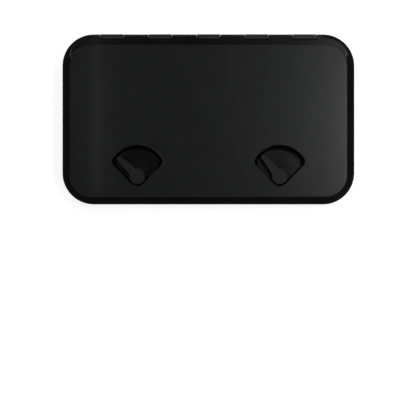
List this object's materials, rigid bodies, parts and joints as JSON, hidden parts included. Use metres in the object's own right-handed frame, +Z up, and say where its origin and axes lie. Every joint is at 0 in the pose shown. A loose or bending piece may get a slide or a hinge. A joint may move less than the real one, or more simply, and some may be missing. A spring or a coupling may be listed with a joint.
{
  "type": "deck hatch",
  "caption": "Flush rectangular deck access hatch: ribbed lid on hinge blocks, frame with through-deck collar, and quarter-turn handles that work latch cams.",
  "frame": {"origin": "centre of the collar and of the screw pattern, on the deck plane (the underside of the flange)", "axes": "+X to the right along the hinge line, +Y towards the hinges, +Z up out of the deck"},
  "size_m": [0.606, 0.353, 0.0491],
  "materials": {
    "moulded_plastic": "black moulded plastic with a fine grain",
    "handle_plastic": "dark grey moulded plastic, fine grain",
    "seal_rubber": "black closed-cell rubber",
    "stainless_steel": "turned stainless steel",
    "washer_nylon": "natural nylon"
  },
  "bodies": {
    "frame": {"frame": "moulded_plastic", "gasket": "seal_rubber", "hinge_pin_1": "stainless_steel", "hinge_pin_2": "stainless_steel", "hinge_pin_3": "stainless_steel", "hinge_pin_4": "stainless_steel", "hinge_pin_5": "stainless_steel"},
    "lid": {"lid": "moulded_plastic"},
    "left_latch": {"left_handle": "handle_plastic", "left_o_ring": "seal_rubber", "left_thrust_washer": "washer_nylon", "left_cam": "moulded_plastic", "left_cam_washer": "stainless_steel", "left_cam_screw": "stainless_steel"},
    "right_latch": {"right_handle": "handle_plastic", "right_o_ring": "seal_rubber", "right_thrust_washer": "washer_nylon", "right_cam": "moulded_plastic", "right_cam_washer": "stainless_steel", "right_cam_screw": "stainless_steel"}
  },
  "joints": [
    {"name": "lid_hinge", "type": "hinge", "parent": "frame", "child": "lid", "pos_m": [0, 0.17, 0.0095], "axis": [-1, 0, 0], "range_deg": [0, 110]},
    {"name": "left_handle_turn", "type": "hinge", "parent": "lid", "child": "left_latch", "pos_m": [-0.1475, -0.12, 0], "axis": [0, 0, -1], "range_deg": [0, 90]},
    {"name": "right_handle_turn", "type": "hinge", "parent": "lid", "child": "right_latch", "pos_m": [0.1475, -0.12, 0], "axis": [0, 0, -1], "range_deg": [-6, 84]}
  ]
}
